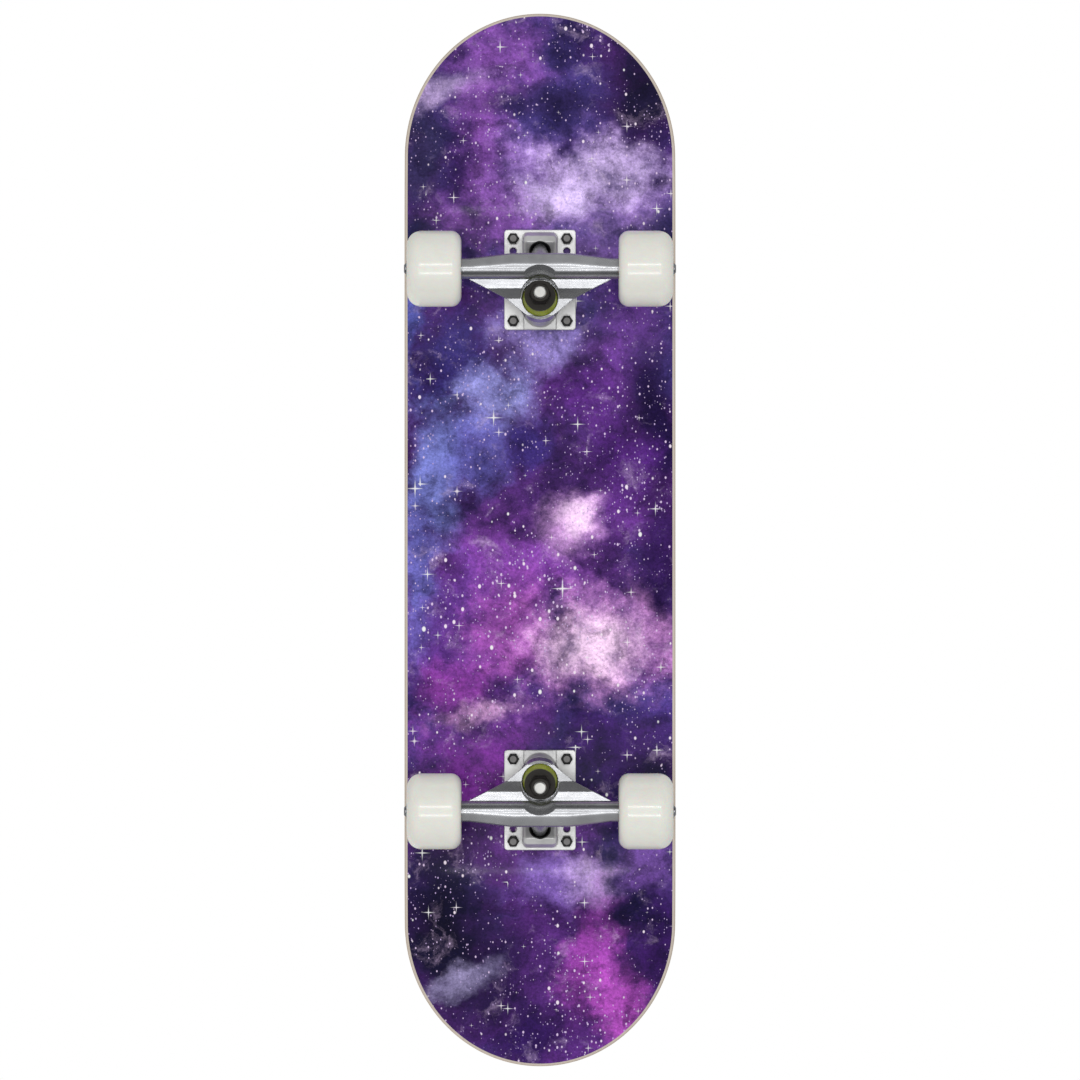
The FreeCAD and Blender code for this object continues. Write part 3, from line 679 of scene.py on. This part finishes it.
@dataclass
class Finishes:
    """All finishes of the board, made once."""

    polished: Metal = Metal("polished_casting", "A8A9AC", 0.22, 0.06, 0.000001, 500.0, (0.08, 1.0, 1.0),
                            metallic=0.75, edge=0.0006)
    cast: Metal = Metal("satin_casting", "DADADA", 0.36, 0.12, 0.000012, 1100.0, metallic=0.7, edge=0.0012)
    kingpin: Metal = Metal("bright_zinc", "E6E6E2", 0.35, 0.1)
    dark: Metal = Metal("black_oxide", "34322F", 0.30, 0.14, metallic=0.8)
    black: Metal = Metal("black_zinc", "151515", 0.40, 0.14, metallic=0.5)
    bolt: Metal = Metal("grey_zinc", "7C7A7A", 0.45, 0.12, 0.00003, 1400.0, metallic=0.45)
    steel: Metal = Metal("turned_steel", "8F9093", 0.22, 0.12, 0.000004, 900.0)
    bearing: Metal = Metal("ground_steel", "C4C5C8", 0.16, 0.08)
    wheel: Urethane = Urethane("white_urethane", "EFEFE7", "ECECE3", 0.13, 0.2, 0.004)
    olive: Urethane = Urethane("olive_urethane", "9AA51C", "77811A", 0.25, 0.15, 0.003)
    rubber: Urethane = Urethane("black_rubber", "1A1A1A", "101010", 0.5)
    nylon: Urethane = Urethane("pale_nylon", "DCD3B4", "CFC4A0", 0.4)
    grip: GripSheet = GripSheet()
    film: NightSkyFilm = NightSkyFilm()
    maple: Maple = Maple()
    made: dict[str, Material] = field(default_factory=dict)

    def get(self, key: str) -> Material:
        """Material of one finish, made the first time that it is asked for.

        Args:
            key: Name of the finish's field.

        Returns:
            The material.
        """
        if key not in self.made:
            self.made[key] = getattr(self, key).make()
        return self.made[key]


def add_piece(form: BMesh, name: str, body: str, material: Material,
              replaced: list[str], sharp: float = 35.0) -> Object:
    """Turn a finished bmesh into a piece that rides on a body.

    Args:
        form: The finished mesh, in board metres; it is freed.
        name: Name of the piece.
        body: CAD body that carries it.
        material: Finish of the piece.
        replaced: CAD nodes that it stands for.
        sharp: Angle in degrees above which an edge looks sharp.

    Returns:
        The new object.
    """
    mesh = bpy.data.meshes.new(name)
    form.to_mesh(mesh)
    form.free()
    mesh.shade_smooth()
    mesh.set_sharp_from_angle(angle=math.radians(sharp))
    piece = bpy.data.objects.new(name, mesh)
    bpy.context.scene.collection.objects.link(piece)
    mesh.materials.append(material)
    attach(piece, body)
    if replaced:
        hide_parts(*replaced)
    LOG.info("%s: %d faces on %s", name, len(mesh.polygons), body)
    return piece


def dress_node(node: str, material: Material) -> None:
    """Give a CAD node that stays in view its finish.

    Args:
        node: Name of the node.
        material: Its finish.
    """
    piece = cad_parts[node]
    for number in range(len(piece.data.materials)):
        piece.material_slots[number].material = material
    LOG.info("%s: CAD node kept", node)


@dataclass
class Deck:
    """The laminated deck with its two skins.

    Attributes:
        finishes: Finishes of the board.
        end_length: Half length of the elliptical ends.
        level_half: The deck is level out to here from its middle.
        kick_radius: Bend between the level part and the nose or tail.
        kick_angle: Slope of nose and tail in radians.
        flat_half: Half width of the flat middle strip.
        concave: Rise of the long edges.
        edge_round: Rounding of the wooden edge.
        thick: Thickness of the wood.
        film: Thickness of the printed film.
        skin_inset: Distance of both skins from the outline.
        step: Spacing of the mesh lines.
        outline_segments: Number of straight sides of the outline.
        edge_segments: Number of faces round the rounded edge.
    """

    finishes: Finishes
    end_length: float = 0.113
    level_half: float = 0.246
    kick_radius: float = 0.160
    kick_angle: float = math.radians(20.0)
    flat_half: float = 0.030
    concave: float = 0.0085
    edge_round: float = 0.0035
    thick: float = 0.0110
    film: float = 0.0003
    skin_inset: float = 0.0024
    step: float = 0.006
    outline_segments: int = 224
    edge_segments: int = 5

    def __post_init__(self) -> None:
        """Read the deck's length and width from its CAD node in model.glb, and work out its concave bend."""
        low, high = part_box("deck")
        self.half_width = (high.x - low.x) / 2
        self.half_length = (high.y - low.y) / 2
        self.under = low.z
        span = self.half_width - self.flat_half
        self.concave_radius = (span ** 2 + self.concave ** 2) / (2 * self.concave)

    def height(self, x: float, y: float, lift: float) -> float:
        """Height above the flat middle of the underside.

        Args:
            x: Place across the board.
            y: Place along the board.
            lift: Distance above the underside, square to the sheet.

        Returns:
            Height of the sheet there.
        """
        side = max(0.0, abs(x) - self.flat_half)
        bend = self.concave_radius - lift
        section = lift + bend - math.sqrt(bend ** 2 - side ** 2)
        run = abs(y) - self.level_half
        radius = self.kick_radius - section
        if run <= 0:
            return section
        if run < radius * math.sin(self.kick_angle):
            return self.kick_radius - math.sqrt(radius ** 2 - run ** 2)
        start = self.kick_radius - radius * math.cos(self.kick_angle)
        return start + (run - radius * math.sin(self.kick_angle)) * math.tan(self.kick_angle)

    def slab(self, inset: float, lift: float, thick: float, edge: float) -> BMesh:
        """Sheet of the deck's outline that follows its curves.

        Args:
            inset: Distance from the deck's outline.
            lift: Distance of its underside above the deck's.
            thick: Thickness.
            edge: Rounding of its rims.

        Returns:
            The sheet, with the vertex layer ply from 0 below to 1 above.
        """
        form = bmesh.new()
        bmesh.ops.create_circle(form, cap_ends=True, radius=1.0, segments=self.outline_segments)
        half_side = Matrix.Rotation(math.pi / self.outline_segments, 3, "Z")
        bmesh.ops.rotate(form, verts=form.verts, cent=(0, 0, 0), matrix=half_side)
        for vert in form.verts:
            straight = math.copysign(self.half_length - self.end_length, vert.co.y)
            vert.co.x *= self.half_width - inset
            vert.co.y = vert.co.y * (self.end_length - inset) + straight
        grown = bmesh.ops.extrude_face_region(form, geom=form.faces[:], use_keep_orig=True)
        top = [item for item in grown["geom"] if isinstance(item, BMVert)]
        bmesh.ops.translate(form, verts=top, vec=(0, 0, thick))
        rims = [e for e in form.edges if abs(e.verts[0].co.z - e.verts[1].co.z) < thick / 2]
        if edge > 0:
            bmesh.ops.bevel(form, geom=rims, offset=edge, offset_type="OFFSET", segments=self.edge_segments,
                            profile=0.5, affect="EDGES", material=-1)
        self.cut_grid(form, inset)
        layer = form.verts.layers.float.new("ply")
        for vert in form.verts:
            vert[layer] = vert.co.z / thick
            vert.co.z = self.under + self.height(vert.co.x, vert.co.y, lift + vert.co.z)
        bmesh.ops.recalc_face_normals(form, faces=form.faces[:])
        return form

    def cut_grid(self, form: BMesh, inset: float) -> None:
        """Cut a flat sheet along evenly spaced lines across and along the deck.

        Args:
            form: The flat sheet.
            inset: Its distance from the deck's outline.
        """
        for axis, half in ((Vector((1, 0, 0)), self.half_width), (Vector((0, 1, 0)), self.half_length)):
            lines = int(half / self.step)
            for number in range(-lines, lines + 1):
                at = axis * number * self.step
                if at.length < half - inset - self.edge_round:
                    geometry = form.verts[:] + form.edges[:] + form.faces[:]
                    bmesh.ops.bisect_plane(form, geom=geometry, dist=CUT_TOLERANCE, plane_co=at, plane_no=axis)

    def build(self) -> None:
        """Make the deck, the grip tape and the printed film."""
        add_piece(self.slab(0.0, 0.0, self.thick, self.edge_round), "maple_deck", "board",
                  self.finishes.get("maple"), ["deck"])
        dress_node("grip_tape", self.finishes.get("grip"))
        film = add_piece(self.slab(self.skin_inset, -self.film, self.film, 0.0), "sky_film", "board",
                         self.finishes.get("film"), ["printed_film"])
        film.visible_diffuse = False


@dataclass
class Truck:
    """One truck: baseplate, kingpin with bushings, hanger and axle.

    Attributes:
        finishes: Finishes of the board.
        end: End of the board that it is under.
        dress: Finish of each node, by the end of the node's name.
    """

    finishes: Finishes
    end: End
    dress: dict[str, str] = field(default_factory=lambda: {
        "baseplate": "cast", "hanger": "polished", "pivot_cup": "rubber", "kingpin": "kingpin", "kingpin_nut": "dark",
        "board_side_bushing": "olive", "road_side_bushing": "olive",
        "board_side_cup_washer": "dark", "road_side_cup_washer": "dark",
        "axle": "steel", "speed_washers": "steel", "axle_nuts": "steel",
        "deck_bolts": "bolt", "deck_nuts": "black",
    })

    def build(self) -> None:
        """Dress the truck's nodes."""
        for part, finish in self.dress.items():
            dress_node(f"{self.end.label}_{part}", self.finishes.get(finish))


@dataclass
class Wheel:
    """One wheel with its two ball bearings.

    Attributes:
        finishes: Finishes of the board.
        end: End of the board that it is under.
        side: Side of the board that it is on.
        dress: Finish of each node, by the end of the node's name.
    """

    finishes: Finishes
    end: End
    side: Side
    dress: dict[str, str] = field(default_factory=lambda: {
        "wheel_tyre": "wheel", "bearing_outer_races": "bearing", "bearing_inner_races": "bearing",
        "bearing_balls": "bearing", "bearing_cages": "nylon", "bearing_shields": "bearing",
        "bearing_spacer": "steel",
    })

    def build(self) -> None:
        """Dress the wheel's nodes."""
        for part, finish in self.dress.items():
            dress_node(f"{self.end.label}_{self.side.label}_{part}", self.finishes.get(finish))


@dataclass(frozen=True)
class Lamp:
    """One rectangular lamp.

    Attributes:
        name: Its name.
        at: Its place in metres.
        size: Its width and height in metres.
        power: Its power in watts.
        reflected: Whether glossy surfaces show it.
    """

    name: str
    at: Triple
    size: tuple[float, float]
    power: float
    reflected: bool = True


@dataclass
class Studio:
    """Camera under the board, soft lights above and below, and a pale floor seen from above only.

    Attributes:
        distance: Distance of the camera from the deck.
        frame_height: Height of the view at the deck.
        sensor: Width of the camera's sensor in millimetres.
        aim: Point that the lamps face.
        surrounding: Brightness of the surroundings as a light and in reflections.
        backdrop: Brightness of the surroundings behind the board.
        floor_half: Half width of the floor.
        floor_drop: Depth of the floor below the wheels.
        card_half: Half sizes of the dark card.
        card_height: Height of the dark card.
        lamps: A broad panel and two thin strips below, and a soft key above.
    """

    distance: float = 5.0
    frame_height: float = 0.8335
    sensor: float = 36.0
    aim: Triple = (0.0, 0.0, 0.08)
    surrounding: float = 0.58
    backdrop: float = 1.0
    floor_half: float = 14.0
    floor_drop: float = 0.0002
    card_half: tuple[float, float] = (0.30, 0.142)
    card_height: float = -0.07
    lamps: tuple[Lamp, ...] = (
        Lamp("panel_below", (0.0, 0.0, -4.2), (4.0, 2.3), 25.0),
        Lamp("strip_below", (0.0, -0.95, -4.0), (2.4, 0.12), 18.0),
        Lamp("strip_below", (0.0, 0.95, -4.0), (2.4, 0.12), 18.0),
        Lamp("key_above", (1.2, -1.6, 2.6), (1.8, 1.8), 60.0, False),
    )

    def build(self) -> None:
        """Set up the view."""
        scene = bpy.context.scene
        scene.view_settings.view_transform = "Standard"
        self.world()
        self.camera()
        self.floor()
        self.card()
        for lamp in self.lamps:
            self.hang(lamp)

    def world(self) -> None:
        """White backdrop with a softer grey surrounding for light and reflections."""
        world = bpy.data.worlds.new("studio_world")
        bpy.context.scene.world = world
        world.use_nodes = True
        tree = world.node_tree
        path = tree.nodes.new("ShaderNodeLightPath")
        level = tree.nodes.new("ShaderNodeMapRange")
        level.inputs["To Min"].default_value = self.surrounding
        level.inputs["To Max"].default_value = self.backdrop
        tree.links.new(path.outputs["Is Camera Ray"], level.inputs["Value"])
        tree.links.new(level.outputs[0], tree.nodes["Background"].inputs["Strength"])
        tree.nodes["Background"].inputs["Color"].default_value = (1, 1, 1, 1)

    def camera(self) -> None:
        """Long lens under the middle of the board, looking straight up at it."""
        data = bpy.data.cameras.new("camera")
        data.sensor_width = self.sensor
        data.lens = self.sensor * self.distance / self.frame_height
        data.clip_end = 20 * self.distance
        camera = bpy.data.objects.new("camera", data)
        low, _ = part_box("deck")
        camera.location = (0.0, 0.0, low.z - self.distance)
        camera.rotation_euler = (0.0, math.pi, 0.0)
        bpy.context.scene.collection.objects.link(camera)
        bpy.context.scene.camera = camera

    def floor(self) -> None:
        """Pale floor under the wheels that is clear from below."""
        form = bmesh.new()
        bmesh.ops.create_grid(form, x_segments=1, y_segments=1, size=self.floor_half)
        mesh = bpy.data.meshes.new("floor")
        form.to_mesh(mesh)
        form.free()
        floor = bpy.data.objects.new("floor", mesh)
        floor.location.z = -self.floor_drop
        bpy.context.scene.collection.objects.link(floor)
        tree = ShaderTree("pale_floor")
        tree.surface(Base_Color=(0.86, 0.86, 0.86), Roughness=0.9, Specular_IOR_Level=0.0)
        clear = tree.add("BsdfTransparent")
        facing = tree.add("NewGeometry").outputs["Backfacing"]
        mixed = tree.add("MixShader", {0: facing, 1: tree.shader.outputs[0], 2: clear.outputs[0]})
        tree.feed(tree.tree.nodes["Material Output"].inputs[0], mixed.outputs[0])
        mesh.materials.append(tree.material)
        for kind in ("diffuse", "glossy", "transmission", "shadow"):
            setattr(floor, "visible_" + kind, False)

    def hang(self, lamp: Lamp) -> None:
        """Put up a lamp that faces the middle of the board.

        Args:
            lamp: The lamp.
        """
        data = bpy.data.lights.new(lamp.name, "AREA")
        data.shape = "RECTANGLE"
        data.size, data.size_y = lamp.size
        data.energy = lamp.power
        light = bpy.data.objects.new(lamp.name, data)
        light.location = lamp.at
        light.rotation_mode = "QUATERNION"
        light.rotation_quaternion = (Vector(self.aim) - Vector(lamp.at)).to_track_quat("-Z", "Y")
        light.visible_camera = False
        light.visible_glossy = lamp.reflected
        bpy.context.scene.collection.objects.link(light)

    def card(self) -> None:
        """Dark card under the middle of the board, seen only in reflections."""
        form = bmesh.new()
        bmesh.ops.create_grid(form, x_segments=1, y_segments=1, size=1.0)
        bmesh.ops.scale(form, verts=form.verts, vec=(*self.card_half, 1.0))
        bmesh.ops.translate(form, verts=form.verts, vec=(0.0, 0.0, self.card_height))
        mesh = bpy.data.meshes.new("flag")
        form.to_mesh(mesh)
        form.free()
        card = bpy.data.objects.new("flag", mesh)
        bpy.context.scene.collection.objects.link(card)
        tree = ShaderTree("dark_card")
        tree.surface(Base_Color=(0.010, 0.012, 0.018), Roughness=1.0, Specular_IOR_Level=0.0)
        mesh.materials.append(tree.material)
        for kind in ("camera", "diffuse", "transmission", "shadow"):
            setattr(card, "visible_" + kind, False)


def main() -> None:
    """Build the skateboard and the studio."""
    logging.basicConfig(level=logging.INFO, format="%(message)s")
    finishes = Finishes()
    Deck(finishes).build()
    for end in End:
        Truck(finishes, end).build()
        for side in Side:
            Wheel(finishes, end, side).build()
    Studio().build()


if __name__ == "__main__":
    main()
